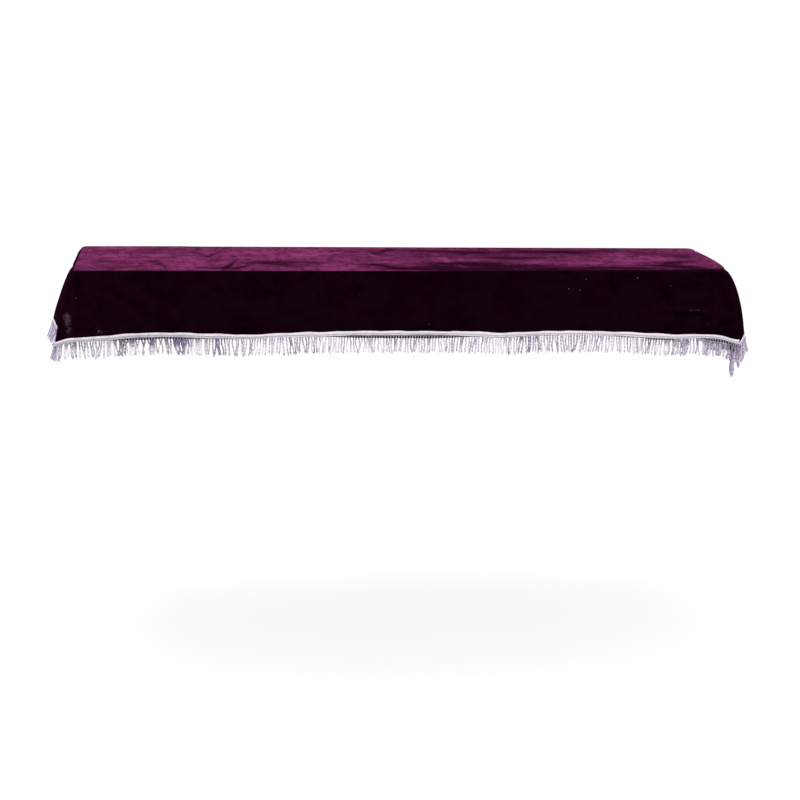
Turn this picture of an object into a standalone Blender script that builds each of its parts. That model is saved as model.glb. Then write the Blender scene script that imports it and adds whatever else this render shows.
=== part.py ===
"""Velvet piano cover: one rectangular cloth hanging over a keyboard body, with a fringe sewn round its hem.

The origin is the middle of the top's underside, +X runs along the length and +Z is up.
The keyboard that fills the cover isn't modelled: the cover is hollow and open below.
"""

import math
from collections import namedtuple

import bpy
import numpy as np

MM = 0.001

# Driving dimensions
TOP_LENGTH = 1.340  # between the folds at the two ends
TOP_DEPTH = 0.258  # between the front and back folds
TOP_CORNER = 0.010  # radius of the top's corners
CLOTH_THICKNESS = 0.002  # velvet with its pile
BRAID_HEIGHT = 0.009
BRAID_THICKNESS = 0.0012
BRAID_BELOW_HEM = 0.001
SEAM_GAP = 0.0006  # between the cloth's face and the braid
STRAND_LENGTH = 0.035
STRAND_WIDTH = 0.0055
STRAND_PITCH = 0.0165
STRAND_LEAN = 0.0022  # the most that a strand's end swings aside

# One strand below its root: the part of its length, its width and its depth there
Section = namedtuple("Section", "down width depth")
STRAND = [
    Section(0.35, 0.0050, 0.0028),
    Section(1.00, 0.0034, 0.0024),
]

# Heights of the mesh's rows, measured down each column from the fold
FOLD_ROWS = (0.0, 0.004, 0.009, 0.018)
HANGING_ROWS = (0.25, 0.52, 0.78)  # parts of what is left between the fold rows and the braid
WALL_STRANDS_PER_COLUMN = 3  # a flat wall has a column of points at every third strand

# The long walls, from left to right seen from outside the front: how far along the half length,
# how far the hem stands out from the fold, how far it drops below the top, the shoulder's reach.
Wall = namedtuple("Wall", "along stand drop shoulder")
FRONT = [
    Wall(-0.95, 10, 141, 5),
    Wall(-0.86, 8, 137, 5),
    Wall(-0.74, 10, 133, 5),
    Wall(-0.62, 7, 137, 5),
    Wall(-0.48, 9, 137, 5),
    Wall(-0.34, 7, 135, 5),
    Wall(-0.16, 9, 132, 5),
    Wall(0.02, 8, 132, 5),
    Wall(0.20, 10, 133, 5),
    Wall(0.30, 8, 137, 5),
    Wall(0.40, 7, 133, 5),
    Wall(0.62, 9, 133, 5),
    Wall(0.76, 8, 138, 5),
    Wall(0.86, 12, 140, 6),
    Wall(0.94, 10, 139, 6),
]
BACK = [
    Wall(-0.92, 10, 142, 6),
    Wall(-0.80, 14, 141, 6),
    Wall(-0.66, 8, 138, 6),
    Wall(-0.44, 12, 136, 6),
    Wall(-0.22, 8, 137, 6),
    Wall(0.00, 11, 135, 6),
    Wall(0.24, 8, 136, 6),
    Wall(0.48, 12, 138, 6),
    Wall(0.70, 9, 141, 6),
    Wall(0.84, 14, 143, 6),
    Wall(0.93, 10, 145, 6),
]

# The two ends, from the front corner to the back one: the place on the top's edge, measured
# round it from the end of the front fold; the hem's place past the top's end and behind its
# front fold; the drop; the shoulder's reach; and 1 where the cloth hangs upright above its hem
# or 0 where it runs straight from the fold, as on a corner's flared fold.
End = namedtuple("End", "edge past behind drop shoulder hang")
RIGHT = [
    End(0, 4, -10, 144, 6, 1.0),
    End(4, 20, -12, 149, 8, 0.8),
    End(8, 37, -7, 154, 10, 0.7),  # first crest
    End(11, 48, 12, 163, 13, 0.6),
    End(14, 49, 36, 183, 16, 0.6),
    End(17, 53, 57, 201, 18, 0.6),  # the cloth's corner
    End(20, 70, 68, 185, 19, 0.7),
    End(24, 88, 84, 164, 20, 0.75),  # second crest
    End(28, 85, 101, 160, 21, 0.75),
    End(33, 63, 105, 159, 24, 0.75),
    End(42, 42, 90, 158, 27, 0.75),
    End(54, 25, 76, 157, 36, 0.85),  # tuck behind the flared fold
    End(70, 15, 86, 156, 47, 1.0),
    End(90, 15, 106, 155, 55, 1.0),
    End(130, 19, 142, 156, 57, 1.0),
    End(180, 16, 178, 158, 50, 1.0),
    End(215, 20, 198, 160, 35, 1.0),
    End(236, 38, 202, 163, 20, 0.9),
    End(246, 62, 212, 167, 20, 0.7),
    End(252, 78, 232, 174, 20, 0.6),
    End(257, 74, 270, 190, 18, 0.6),  # the cloth's corner
    End(261, 50, 296, 180, 14, 0.6),
    End(264, 24, 308, 166, 12, 0.6),
    End(266, 2, 300, 156, 10, 0.8),
    End(269, -12, 280, 148, 8, 0.9),
    End(271, -34, 270, 145, 6, 1.0),
]
LEFT = [
    End(0, 4, -9, 143, 5, 1.0),
    End(4, 18, -9, 147, 7, 0.8),
    End(8, 32, -4, 151, 7, 0.6),  # first crest
    End(11, 38, 14, 151, 6, 0.5),
    End(14, 39, 40, 155, 5, 0.35),
    End(17, 38, 66, 161, 4, 0.25),
    End(20, 39, 89, 162, 4, 0.25),  # the cloth's corner
    End(24, 45, 114, 153, 5, 0.3),
    End(29, 53, 140, 144, 6, 0.35),
    End(35, 57, 163, 139, 6, 0.35),  # second crest
    End(41, 50, 174, 138, 7, 0.35),
    End(47, 40, 158, 139, 7, 0.3),
    End(53, 31, 132, 140, 6, 0.4),
    End(60, 24, 110, 141, 5, 0.45),
    End(68, 15, 99, 141, 7, 0.8),  # tuck behind the flared fold
    End(80, 9, 106, 141, 9, 1.0),
    End(96, 8, 124, 141, 11, 1.0),
    End(125, 12, 144, 141, 13, 1.0),
    End(165, 15, 176, 143, 13, 1.0),
    End(205, 13, 208, 146, 10, 1.0),
    End(232, 24, 226, 149, 10, 0.9),
    End(244, 42, 240, 154, 10, 0.8),
    End(251, 52, 268, 166, 10, 0.7),
    End(256, 44, 296, 184, 10, 0.7),  # the cloth's corner
    End(260, 22, 312, 170, 10, 0.7),
    End(264, 0, 306, 157, 9, 0.8),
    End(268, -16, 284, 148, 8, 0.9),
    End(271, -36, 270, 143, 6, 1.0),
]

# One column of the hanging cloth: how far round the top's edge its fold is, the hem's point,
# the shoulder's reach and how upright it hangs.
Column = namedtuple("Column", "around hem_x hem_y hem_z shoulder hang")

STRAIGHT = TOP_LENGTH / 2 - TOP_CORNER  # half of the front fold, without the corners
ARC = TOP_CORNER * math.pi / 2
END_EDGE = TOP_DEPTH - 2 * TOP_CORNER + 2 * ARC  # one end of the top's edge, with both its corners
ROUND = 4 * STRAIGHT + 2 * END_EDGE  # all the way round the top's edge


def clear_scene():
    for thing in list(bpy.data.objects):
        bpy.data.objects.remove(thing, do_unlink=True)


def fold_at(around):
    """The point this far round the top's edge from the middle of the front, and its outward direction."""
    around = around % ROUND
    if around > ROUND / 2:
        point, out = fold_at(ROUND - around)
        return point * [-1, 1, 1], out * [-1, 1, 1]
    edge = around - STRAIGHT
    if edge < ARC:
        turn = max(edge, 0) / TOP_CORNER
    elif edge > END_EDGE - ARC:
        turn = math.pi - max(END_EDGE - edge, 0) / TOP_CORNER
    else:
        turn = math.pi / 2
    out = np.array([math.sin(turn), -math.cos(turn), 0.0])
    middle_x = min(around, STRAIGHT, STRAIGHT + END_EDGE + STRAIGHT - around)
    middle_y = min(max(edge - ARC, 0), TOP_DEPTH - 2 * TOP_CORNER) - TOP_DEPTH / 2 + TOP_CORNER
    return np.array([middle_x, middle_y, CLOTH_THICKNESS]) + TOP_CORNER * out, out


def all_columns():
    """Every given column, once round the cover: front, right, back, left."""
    columns = []
    for row in FRONT:
        x = row.along * STRAIGHT
        hem_y = -TOP_DEPTH / 2 - row.stand * MM
        columns.append(Column(x, x, hem_y, -row.drop * MM, row.shoulder * MM, 1.0))
    for row in RIGHT:
        hem_x = TOP_LENGTH / 2 + row.past * MM
        hem_y = row.behind * MM - TOP_DEPTH / 2
        around = STRAIGHT + row.edge * MM
        columns.append(Column(around, hem_x, hem_y, -row.drop * MM, row.shoulder * MM, row.hang))
    for row in reversed(BACK):
        x = row.along * STRAIGHT
        hem_y = TOP_DEPTH / 2 + row.stand * MM
        columns.append(Column(ROUND / 2 - x, x, hem_y, -row.drop * MM, row.shoulder * MM, 1.0))
    for row in reversed(LEFT):
        hem_x = -TOP_LENGTH / 2 - row.past * MM
        hem_y = row.behind * MM - TOP_DEPTH / 2
        around = ROUND - STRAIGHT - row.edge * MM
        columns.append(Column(around, hem_x, hem_y, -row.drop * MM, row.shoulder * MM, row.hang))
    return np.array(columns)


class Drape:
    """The smooth hanging surface through the given columns, read by distance along the hem."""

    def __init__(self, columns):
        steps = np.roll(columns[:, 1:4], -1, axis=0) - columns[:, 1:4]
        lengths = np.linalg.norm(steps, axis=1)
        self.length = lengths.sum()
        starts = np.concatenate([[0], np.cumsum(lengths)])
        self.knots = np.concatenate([starts[-3:-1] - self.length, starts, starts[1:3] + self.length])
        lap = np.array([ROUND, 0, 0, 0, 0, 0])
        self.values = np.concatenate([columns[-2:] - lap, columns, columns[:3] + lap])

    def column(self, along):
        """The column at this distance, on a smooth curve through its four neighbours."""
        along = along % self.length
        i = int(np.searchsorted(self.knots, along, side="right")) - 1
        k0, k1, k2, k3 = self.knots[i - 1 : i + 3]
        v0, v1, v2, v3 = self.values[i - 1 : i + 3]
        before, here, after = (v1 - v0) / (k1 - k0), (v2 - v1) / (k2 - k1), (v3 - v2) / (k3 - k2)
        slope1 = (v2 - v0) / (k2 - k0)
        slope2 = (v3 - v1) / (k3 - k1)
        # The fold's place only ever moves onward, so its slopes are kept under its slowest neighbour's.
        slope1[0] = min(slope1[0], 3 * before[0], 3 * here[0])
        slope2[0] = min(slope2[0], 3 * here[0], 3 * after[0])
        step = k2 - k1
        t = (along - k1) / step
        return (
            v1 * (2 * t**3 - 3 * t**2 + 1)
            + slope1 * step * (t**3 - 2 * t**2 + t)
            + v2 * (3 * t**2 - 2 * t**3)
            + slope2 * step * (t**3 - t**2)
        )

    def points(self, along):
        """The points down one column, from the fold to the hem."""
        column = Column(*self.column(along))
        fold, out = fold_at(column.around)
        hem = np.array([column.hem_x, column.hem_y, column.hem_z + CLOTH_THICKNESS])
        upright = np.array([0.0, 0.0, fold[2] - hem[2]])
        above_hem = hem + 0.45 * (column.hang * upright + (1 - column.hang) * (fold - hem))
        t = np.linspace(0, 1, 81)[:, None]
        shoulder = fold + column.shoulder * out
        curve = (
            (1 - t) ** 3 * fold
            + 3 * t * (1 - t) ** 2 * shoulder
            + 3 * t**2 * (1 - t) * above_hem
            + t**3 * hem
        )
        walked = np.concatenate([[0], np.cumsum(np.linalg.norm(np.diff(curve, axis=0), axis=1))])
        last = walked[-1] - BRAID_HEIGHT
        left = last - FOLD_ROWS[-1]
        rows = [*FOLD_ROWS, *(FOLD_ROWS[-1] + part * left for part in HANGING_ROWS), last, walked[-1]]
        return np.array([[np.interp(row, walked, curve[:, axis]) for axis in range(3)] for row in rows])


def column_places(drape):
    """Where the strands hang along the hem, and where the cloth's columns of points stand.

    Each column is at a strand's edge, so that the braid bends only where the cloth does.
    The last place closes the round.
    """
    count = round(drape.length / STRAND_PITCH)
    pitch = drape.length / count
    strands = [(i * pitch, i * pitch + STRAND_WIDTH) for i in range(count)]
    places = []
    straight = TOP_LENGTH / 2 - 3 * TOP_CORNER
    for i, (start, end) in enumerate(strands):
        column = Column(*drape.column(start))
        if abs(column.hem_x) > straight:
            places += [start, end]
        elif i % WALL_STRANDS_PER_COLUMN == 0:
            places.append(start)
    return strands, places + [drape.length]


def principled(name, colour, roughness):
    material = bpy.data.materials.new(name)
    material.use_nodes = True
    shader = material.node_tree.nodes["Principled BSDF"]
    shader.inputs["Base Color"].default_value = (*colour, 1)
    shader.inputs["Roughness"].default_value = roughness
    shader.inputs["Metallic"].default_value = 0
    material.diffuse_color = (*colour, 1)
    return material


def mesh_object(name, points, faces, material):
    mesh = bpy.data.meshes.new(name)
    mesh.from_pydata([tuple(point) for point in points], [], faces)
    mesh.validate()
    mesh.update()
    mesh.materials.append(material)
    thing = bpy.data.objects.new(name, mesh)
    bpy.context.collection.objects.link(thing)
    return thing


def grid_normals(grid):
    """Outward directions on a grid of points that closes round its first axis."""
    around = np.roll(grid, -1, axis=0) - np.roll(grid, 1, axis=0)
    down = np.gradient(grid, axis=1)
    normals = np.cross(down, around)
    return normals / np.linalg.norm(normals, axis=2, keepdims=True)


def cloth_sheet(grid, normals):
    """The velvet: a flat top and the hanging grid, given its thickness inwards and closed at the hem."""
    columns, rows = grid.shape[:2]
    inner = grid - CLOTH_THICKNESS * normals
    inner[:, 0] = grid[:, 0] - [0, 0, CLOTH_THICKNESS]
    points = np.concatenate([grid.reshape(-1, 3), inner.reshape(-1, 3)])
    offset = columns * rows
    faces = []
    for i in range(columns):
        j = (i + 1) % columns
        for row in range(rows - 1):
            quad = [i * rows + row, i * rows + row + 1, j * rows + row + 1, j * rows + row]
            faces.append(quad)
            faces.append([corner + offset for corner in reversed(quad)])
        hem, next_hem = i * rows + rows - 1, j * rows + rows - 1
        faces.append([hem, hem + offset, next_hem + offset, next_hem])
    faces.append([i * rows for i in range(columns)])
    faces.append([i * rows + offset for i in reversed(range(columns))])
    return points, faces


def braid_edges(grid, normals, places, along):
    """The braid's four edges at this distance: its lower and upper ones, on its inner and outer faces.

    They follow the cloth's flat facets between its columns, so the seam's gap stays even.
    """
    i = int(np.searchsorted(places, along, side="right")) - 1
    j = (i + 1) % len(grid)
    part = (along - places[i]) / (places[i + 1] - places[i])
    normal = (1 - part) * normals[i, -1] + part * normals[j, -1]
    upper, hem = ((1 - part) * grid[i, row] + part * grid[j, row] for row in (-2, -1))
    down = (hem - upper) / np.linalg.norm(hem - upper)
    lower = hem + BRAID_BELOW_HEM * down
    near, far = SEAM_GAP * normal, (SEAM_GAP + BRAID_THICKNESS) * normal
    return lower + near, upper + near, upper + far, lower + far


def strand_sections(root, number):
    """The corners of one strand's sections below its root, each in the root's order."""
    inner_start, outer_start, outer_end, inner_end = root
    middle = sum(root) / 4
    wide = (inner_end + outer_end - inner_start - outer_start) * [1, 1, 0]
    wide /= np.linalg.norm(wide)
    deep = np.array([wide[1], -wide[0], 0.0])
    if np.dot(deep, outer_start - inner_start) < 0:
        deep = -deep
    swing = STRAND_LEAN * (math.sin(2.4 * number) * wide + 0.5 * math.cos(1.7 * number) * deep)
    length = STRAND_LENGTH * (1 + 0.05 * math.sin(5.3 * number))
    for section in STRAND:
        centre = middle + section.down * (swing - [0, 0, length])
        half_wide, half_deep = section.width / 2 * wide, section.depth / 2 * deep
        yield [
            centre - half_wide - half_deep,
            centre - half_wide + half_deep,
            centre + half_wide + half_deep,
            centre + half_wide - half_deep,
        ]


def fringe(grid, normals, places, strands):
    """The braid round the hem, as one closed strip, with every strand drawn down from its lower face."""
    points = [
        point
        for start, end in strands
        for along in (start, end)
        for point in braid_edges(grid, normals, places, along)
    ]
    edges = 2 * len(strands)
    faces = []
    for i in range(edges):
        a, b = 4 * i, 4 * ((i + 1) % edges)
        faces.append([a, a + 1, b + 1, b])
        faces.append([a + 1, a + 2, b + 2, b + 1])
        faces.append([a + 2, a + 3, b + 3, b + 2])
        if i % 2:
            faces.append([a + 3, a, b, b + 3])
            continue
        loop = [a, a + 3, b + 3, b]
        for section in strand_sections([points[corner] for corner in loop], i // 2):
            below = list(range(len(points), len(points) + 4))
            points += section
            for side in range(4):
                after = (side + 1) % 4
                faces.append([loop[side], below[side], below[after], loop[after]])
            loop = below
        faces.append(loop[::-1])
    return points, faces


def main():
    clear_scene()
    drape = Drape(all_columns())
    strands, places = column_places(drape)
    grid = np.array([drape.points(place) for place in places[:-1]])
    normals = grid_normals(grid)
    velvet = principled("velvet", (0.075, 0.012, 0.05), 0.85)
    lavender = principled("lavender_fringe", (0.62, 0.56, 0.68), 0.45)
    mesh_object("velvet_cloth", *cloth_sheet(grid, normals), velvet)
    mesh_object("fringe_trim", *fringe(grid, normals, places, strands), lavender)


main()
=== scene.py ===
import math

import bpy
import numpy as np
from mathutils import Matrix, Vector


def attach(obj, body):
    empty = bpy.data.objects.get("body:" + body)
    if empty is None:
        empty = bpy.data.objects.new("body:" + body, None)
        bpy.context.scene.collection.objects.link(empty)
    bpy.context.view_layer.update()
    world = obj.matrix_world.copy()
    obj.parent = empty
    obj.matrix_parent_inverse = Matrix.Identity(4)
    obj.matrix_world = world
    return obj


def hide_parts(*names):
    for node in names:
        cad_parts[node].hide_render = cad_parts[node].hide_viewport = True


mm = 0.001

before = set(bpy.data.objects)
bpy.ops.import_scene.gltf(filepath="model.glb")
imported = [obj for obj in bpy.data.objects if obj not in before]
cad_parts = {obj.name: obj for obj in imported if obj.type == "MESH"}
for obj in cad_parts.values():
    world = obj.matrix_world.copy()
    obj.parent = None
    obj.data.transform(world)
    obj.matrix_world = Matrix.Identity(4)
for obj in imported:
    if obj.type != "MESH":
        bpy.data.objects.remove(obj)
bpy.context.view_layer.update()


shot = {
    "place": (-0.3396, -3.008, 0.6175),
    "turned": 6.59,  # degrees to the right of straight ahead
    "tilted": 17.06,  # degrees down
    "rolled": -1.48,
    "lens": 65.45,  # mm, on the sensor below
    "sensor": 36,
}


def addCamera():
    turned, tilted, rolled = (math.radians(shot[key]) for key in ("turned", "tilted", "rolled"))
    level = math.cos(tilted)
    ahead = Vector((math.sin(turned) * level, math.cos(turned) * level, -math.sin(tilted)))
    right = Vector((math.cos(turned), -math.sin(turned), 0))
    up = right.cross(ahead)
    right, up = (
        math.cos(rolled) * right - math.sin(rolled) * up,
        math.sin(rolled) * right + math.cos(rolled) * up,
    )
    camera = bpy.data.objects.new("shotCamera", bpy.data.cameras.new("shotCamera"))
    camera.data.lens = shot["lens"]
    camera.data.sensor_width = shot["sensor"]
    camera.data.sensor_fit = "HORIZONTAL"
    camera.data.clip_end = 500
    axes = Matrix((right, up, -ahead)).transposed().to_4x4()
    camera.matrix_world = Matrix.Translation(shot["place"]) @ axes
    bpy.context.scene.collection.objects.link(camera)
    bpy.context.scene.camera = camera


studio = {
    "floorBelowTop": 0.82,  # the height of a keyboard's top on its stand
    "floorSide": 400,
    "floorColour": (0.97, 0.97, 0.97),
    "skyColour": (1.0, 1.0, 1.0),
    "skyStrength": 1.03,
    "overhead": {"place": (-0.35, 0.25, 2.4), "side": 2.8, "power": 30},
}


def deselectAll():
    for thing in bpy.context.selected_objects:
        thing.select_set(False)


def addStudio():
    deselectAll()
    bpy.ops.mesh.primitive_plane_add(size=studio["floorSide"], location=(0, 0, -studio["floorBelowTop"]))
    floor = bpy.context.active_object
    floor.name = "studioFloor"
    paint = Finish("paleFloor")
    paint.set(baseColour=studio["floorColour"], roughness=0.9, specular=0.1)
    floor.data.materials.append(paint.material)

    world = bpy.data.worlds.new("studioSky")
    world.use_nodes = True
    sky = world.node_tree.nodes["Background"]
    sky.inputs["Color"].default_value = (*studio["skyColour"], 1)
    sky.inputs["Strength"].default_value = studio["skyStrength"]
    bpy.context.scene.world = world

    lamp = studio["overhead"]
    deselectAll()
    bpy.ops.object.light_add(type="AREA", location=lamp["place"])
    light = bpy.context.active_object
    light.name = "overheadSoftbox"
    light.data.shape = "SQUARE"
    light.data.size = lamp["side"]
    light.data.energy = lamp["power"]
    bpy.context.scene.view_settings.view_transform = "Standard"


# shader writing: a Wire is one output socket, and sums on wires add Math nodes


class Wire:
    def __init__(self, finish, socket):
        self.finish, self.socket = finish, socket

    def maths(self, operation, *values):
        settings = {"operation": operation}
        return self.finish.node("ShaderNodeMath", settings, dict(enumerate(values)))

    def __add__(self, other):
        return self.maths("ADD", self, other)

    def __sub__(self, other):
        return self.maths("SUBTRACT", self, other)

    def __rsub__(self, other):
        return self.maths("SUBTRACT", other, self)

    def __mul__(self, other):
        return self.maths("MULTIPLY", self, other)

    __radd__ = __add__

    def sine(self):
        return self.maths("SINE", self)

    def absolute(self):
        return self.maths("ABSOLUTE", self)

    def atLeast(self, other):
        return self.maths("MAXIMUM", self, other)

    def ramp(self, low, high, toLow=0.0, toHigh=1.0):
        # runs smoothly from toLow where this is low to toHigh where it is high
        sockets = {"Value": self, "From Min": low, "From Max": high, "To Min": toLow, "To Max": toHigh}
        return self.finish.node("ShaderNodeMapRange", {"interpolation_type": "SMOOTHSTEP"}, sockets)


class Finish:
    def __init__(self, name):
        self.material = bpy.data.materials.new(name)
        self.material.use_nodes = True
        self.tree = self.material.node_tree
        self.shader = self.tree.nodes["Principled BSDF"]

    def node(self, kind, settings, sockets, out=0):
        made = self.tree.nodes.new(kind)
        for key, value in settings.items():
            setattr(made, key, value)
        for key, value in sockets.items():
            self.join(made.inputs[key], value)
        return Wire(self, made.outputs[out])

    def join(self, socket, value):
        if isinstance(value, Wire):
            self.tree.links.new(value.socket, socket)
        elif isinstance(value, tuple) and socket.type == "RGBA":
            socket.default_value = (*value, 1)
        else:
            socket.default_value = value

    def set(self, **values):
        names = {
            "baseColour": "Base Color",
            "roughness": "Roughness",
            "specular": "Specular IOR Level",
            "sheen": "Sheen Weight",
            "sheenRoughness": "Sheen Roughness",
            "sheenTint": "Sheen Tint",
            "normal": "Normal",
        }
        for key, value in values.items():
            self.join(self.shader.inputs[names[key]], value)

    def attribute(self, name):
        return self.node("ShaderNodeAttribute", {"attribute_name": name}, {}, out="Fac")

    def place(self):
        # where a point is on the piece, in metres
        return self.node("ShaderNodeTexCoord", {}, {}, out="Object")

    def parts(self, vector):
        made = self.tree.nodes.new("ShaderNodeSeparateXYZ")
        self.join(made.inputs[0], vector)
        return [Wire(self, socket) for socket in made.outputs]

    def scaled(self, vector, sizes):
        # a pattern read through this repeats about once in each of the sizes
        sockets = {0: vector, 1: tuple(1 / size for size in sizes)}
        return self.node("ShaderNodeVectorMath", {"operation": "MULTIPLY"}, sockets)

    def noise(self, vector, detail=2.0, roughness=0.5, distortion=0.0):
        sockets = {"Vector": vector, "Scale": 1.0, "Detail": detail}
        sockets |= {"Roughness": roughness, "Distortion": distortion}
        return self.node("ShaderNodeTexNoise", {}, sockets)

    def blended(self, amount, low, high):
        # a colour from low to high
        made = self.tree.nodes.new("ShaderNodeMix")
        made.data_type = "RGBA"
        ends = [socket for socket in made.inputs if socket.type == "RGBA"]
        for socket, value in zip([made.inputs[0], *ends], [amount, low, high]):
            self.join(socket, value)
        return Wire(self, next(socket for socket in made.outputs if socket.type == "RGBA"))

    def bump(self, height, distance, strength):
        sockets = {"Height": height, "Distance": distance, "Strength": strength}
        return self.node("ShaderNodeBump", {}, sockets)


# pieces are made from worked-out points, then finished with operators


def meshPiece(name, points, faces):
    mesh = bpy.data.meshes.new(name)
    mesh.from_pydata(np.asarray(points).tolist(), [], faces)
    mesh.update()
    piece = bpy.data.objects.new(name, mesh)
    bpy.context.scene.collection.objects.link(piece)
    return piece


def addAttributes(piece, layers):
    # each layer holds one value for each point
    for name, values in layers.items():
        layer = piece.data.attributes.new(name, "FLOAT", "POINT")
        layer.data.foreach_set("value", values.astype(np.float32).ravel())


def setUv(piece, name, uv):
    # uv holds one pair for each point
    layer = piece.data.uv_layers.new(name=name)
    index = np.empty(len(piece.data.loops), int)
    piece.data.loops.foreach_get("vertex_index", index)
    layer.data.foreach_set("uv", np.asarray(uv, np.float32)[index].ravel())


def tubeFaces(count, corners):
    # faces of a closed ring of sections, each with this many corners
    faces = []
    for i in range(count):
        j = (i + 1) % count
        for k in range(corners):
            m = (k + 1) % corners
            faces.append([i * corners + k, j * corners + k, j * corners + m, i * corners + m])
    return faces


def selectOnly(piece):
    deselectAll()
    bpy.context.view_layer.objects.active = piece
    piece.select_set(True)


def useModifier(piece, kind, **settings):
    selectOnly(piece)
    modifier = piece.modifiers.new(kind.title(), kind)
    for key, value in settings.items():
        setattr(modifier, key, value)
    bpy.ops.object.modifier_apply(modifier=modifier.name)


def shadeSmooth(piece):
    selectOnly(piece)
    bpy.ops.object.shade_smooth_by_angle(angle=math.pi)


addCamera()
addStudio()
print("camera, floor and light set")


# the velvet cloth: one rectangle hanging over the top's four edges

cover = {
    "topLength": 1.340,  # between the folds at the two ends
    "topDepth": 0.258,
    "topCorner": 0.010,
    "thickness": 0.002,
    "flat": (1.64, 0.54),  # the cloth's cut
    "columnPitch": 0.0042,
    "foldRows": (0, 1.5, 3, 4.5, 6, 8, 10.5, 13.5, 17),  # mm down from the fold
    "hangingRows": 21,
    "curveSteps": 120,
    "hangsOver": 0.45,  # the share of its drop over which it takes up the hem's slant
    "backSinks": 0.0018,  # the top falls away a little towards its far fold
    "flatWithin": 0.012,  # the hanging cloth this far below the top no longer sinks with it
    # mm in from the fold
    "topRings": (1.5, 3.5, 6, 9.5, 13, 17, 22, 28, 35, 43, 51, 59, 68, 77, 86, 95, 104, 113, 120, 125, 128),
}

# velvet showing below the braid: everywhere a little, and more along the front at some places
hemShows = {
    "least": 0.0016,
    "uneven": (0.0005, 31, 47),  # size, and waves by x and y
    "places": [(-500, 85, 3.6), (0, 128, 5.3), (540, 34, 3.0), (675, 42, 4.2)],  # x, reach and mm more
}


def shownBelow(hem):
    size, byX, byY = hemShows["uneven"]
    shown = hemShows["least"] + size * math.sin(byX * hem[0] + byY * hem[1])
    if hem[1] < -cover["topDepth"] / 2:
        for x, reach, more in hemShows["places"]:
            shown += more * mm * math.exp(-(((hem[0] - x * mm) / (reach * mm)) ** 4))
    return shown


# the long walls, from the left end to the right: the share of the way from the middle to the
# corner, and in mm how far the hem stands out, its drop and the shoulder at the fold
cover["front"] = [
    (-0.95, 10, 141, 5),
    (-0.86, 8, 137, 5),
    (-0.74, 10, 133, 5),
    (-0.62, 7, 137, 5),
    (-0.48, 9, 137, 5),
    (-0.34, 7, 135, 5),
    (-0.16, 9, 132, 5),
    (0.02, 8, 132, 5),
    (0.20, 10, 133, 5),
    (0.30, 8, 137, 5),
    (0.40, 7, 133, 5),
    (0.62, 9, 133, 5),
    (0.76, 8, 138, 5),
    (0.86, 12, 140, 6),
    (0.94, 10, 139, 6),
]
cover["back"] = [
    (-0.92, 10, 142, 6),
    (-0.80, 14, 141, 6),
    (-0.66, 8, 138, 6),
    (-0.44, 12, 136, 6),
    (-0.22, 8, 137, 6),
    (0.00, 11, 135, 6),
    (0.24, 8, 136, 6),
    (0.48, 12, 138, 6),
    (0.70, 9, 141, 6),
    (0.84, 14, 143, 6),
    (0.93, 10, 145, 6),
]

# the ends, from the front corner to the back one: in mm the fold's place round the top's edge, the
# hem's place past the end and behind the front fold, its drop and the shoulder, and how upright it
# hangs
cover["right"] = [
    (0, 4, -10, 144, 6, 1.0),
    (4, 20, -12, 149, 8, 0.8),
    (8, 37, -7, 154, 10, 0.7),  # first crest
    (11, 44, 12, 159, 13, 0.6),
    (14, 43, 36, 184, 16, 0.6),
    (17, 45, 57, 206, 18, 0.6),  # the cloth's corner
    (20, 62, 68, 187, 19, 0.7),
    (24, 81, 84, 162, 20, 0.75),  # second crest
    (28, 79, 101, 158, 21, 0.75),
    (33, 60, 105, 158, 24, 0.75),
    (42, 42, 90, 158, 27, 0.75),
    (54, 25, 76, 157, 36, 0.85),  # tuck behind the flared fold
    (70, 15, 86, 156, 47, 1.0),
    (90, 15, 106, 155, 55, 1.0),
    (130, 19, 142, 156, 57, 1.0),
    (180, 16, 178, 158, 50, 1.0),
    (215, 20, 198, 160, 35, 1.0),
    (236, 38, 202, 163, 20, 0.9),
    (246, 62, 212, 167, 20, 0.7),
    (252, 78, 232, 174, 20, 0.6),
    (257, 74, 270, 190, 18, 0.6),  # the cloth's corner
    (261, 50, 296, 180, 14, 0.6),
    (264, 24, 308, 166, 12, 0.6),
    (266, 2, 300, 156, 10, 0.8),
    (269, -12, 280, 148, 8, 0.9),
    (271, -34, 270, 145, 6, 1.0),
]
cover["left"] = [
    (0, 4, -9, 143, 5, 1.0),
    (4, 18, -9, 147, 7, 0.8),
    (8, 32, -4, 153, 7, 0.6),  # first crest
    (11, 38, 14, 156, 6, 0.5),
    (14, 39, 40, 158, 5, 0.35),
    (17, 38, 66, 161, 4, 0.25),
    (20, 39, 89, 162, 4, 0.25),  # the cloth's corner
    (24, 45, 114, 153, 5, 0.3),
    (29, 53, 140, 144, 6, 0.35),
    (35, 57, 163, 139, 6, 0.35),  # second crest
    (41, 50, 174, 138, 7, 0.35),
    (47, 40, 158, 139, 7, 0.3),
    (53, 31, 132, 140, 6, 0.4),
    (60, 24, 110, 141, 5, 0.45),
    (68, 15, 99, 141, 7, 0.8),  # tuck behind the flared fold
    (80, 9, 106, 141, 9, 1.0),
    (96, 8, 124, 141, 11, 1.0),
    (125, 12, 144, 141, 13, 1.0),
    (165, 15, 176, 143, 13, 1.0),
    (205, 13, 208, 146, 10, 1.0),
    (232, 24, 226, 149, 10, 0.9),
    (244, 42, 240, 154, 10, 0.8),
    (251, 52, 268, 166, 10, 0.7),
    (256, 44, 296, 184, 10, 0.7),  # the cloth's corner
    (260, 22, 312, 170, 10, 0.7),
    (264, 0, 306, 157, 9, 0.8),
    (268, -16, 284, 148, 8, 0.9),
    (271, -36, 270, 143, 6, 1.0),
]

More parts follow.
